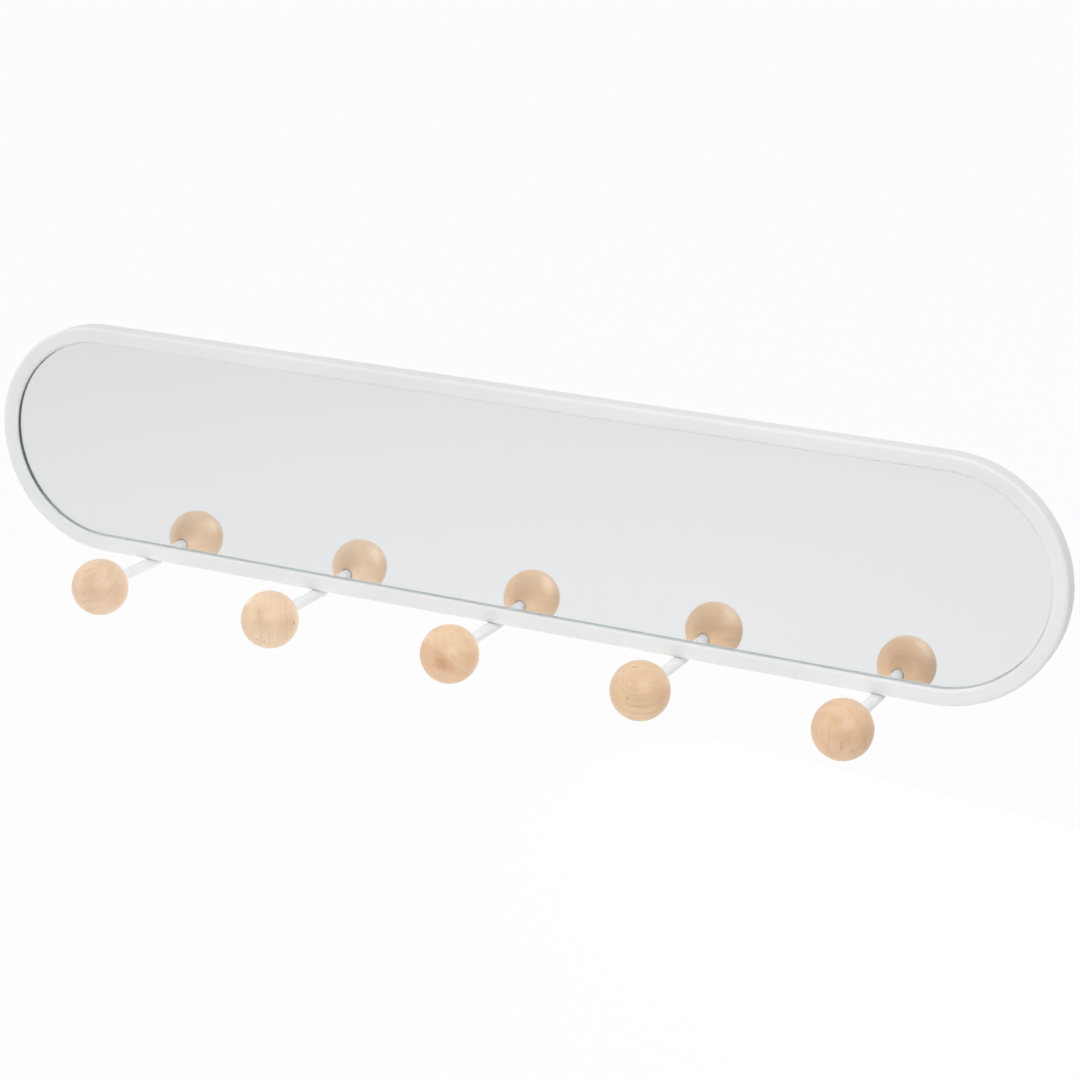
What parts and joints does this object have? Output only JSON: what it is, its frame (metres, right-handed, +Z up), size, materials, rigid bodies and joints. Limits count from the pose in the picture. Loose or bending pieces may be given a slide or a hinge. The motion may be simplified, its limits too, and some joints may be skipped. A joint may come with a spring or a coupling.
{
  "type": "wall mirror with coat hooks",
  "caption": "Long wall mirror with round ends in a white steel tube frame, with a row of bent rod hooks under it that end in turned wooden balls.",
  "frame": {"origin": "on the wall, midway between the centres of the two keyhole hangers' round entry holes", "axes": "+X runs along the mirror to the right end as the front is seen, +Y points into the wall, so the front faces -Y, and +Z is up"},
  "size_m": [0.8, 0.105, 0.1906],
  "materials": {
    "white_steel": "white powder coat, satin, on mild steel",
    "mirror_glass": "clear 3 mm float glass with ground edges",
    "silvering": "silver layer with grey protective paint behind it",
    "foam_tape": "white double-sided foam tape",
    "board": "plain hardboard, one face smooth",
    "zinc_screw": "zinc-plated steel",
    "ball_wood": "pale turned hardwood, smooth with a matt clear coat",
    "insert_brass": "plain brass threaded insert",
    "bumper_rubber": "translucent grey rubber"
  },
  "bodies": {
    "root": {"frame_tube": "white_steel", "mirror_glass": "mirror_glass", "mirror_silvering": "silvering", "mounting_tape": "foam_tape", "backing_board": "board", "board_tabs": "white_steel", "board_screws": "zinc_screw", "hook_rod_1": "white_steel", "hook_rod_2": "white_steel", "hook_rod_3": "white_steel", "hook_rod_4": "white_steel", "hook_rod_5": "white_steel", "hook_ball_1": "ball_wood", "hook_ball_2": "ball_wood", "hook_ball_3": "ball_wood", "hook_ball_4": "ball_wood", "hook_ball_5": "ball_wood", "ball_inserts": "insert_brass", "hook_welds": "white_steel", "keyhole_hanger_left": "white_steel", "keyhole_hanger_right": "white_steel", "hanger_welds": "white_steel", "wall_bumpers": "bumper_rubber"}
  },
  "joints": []
}
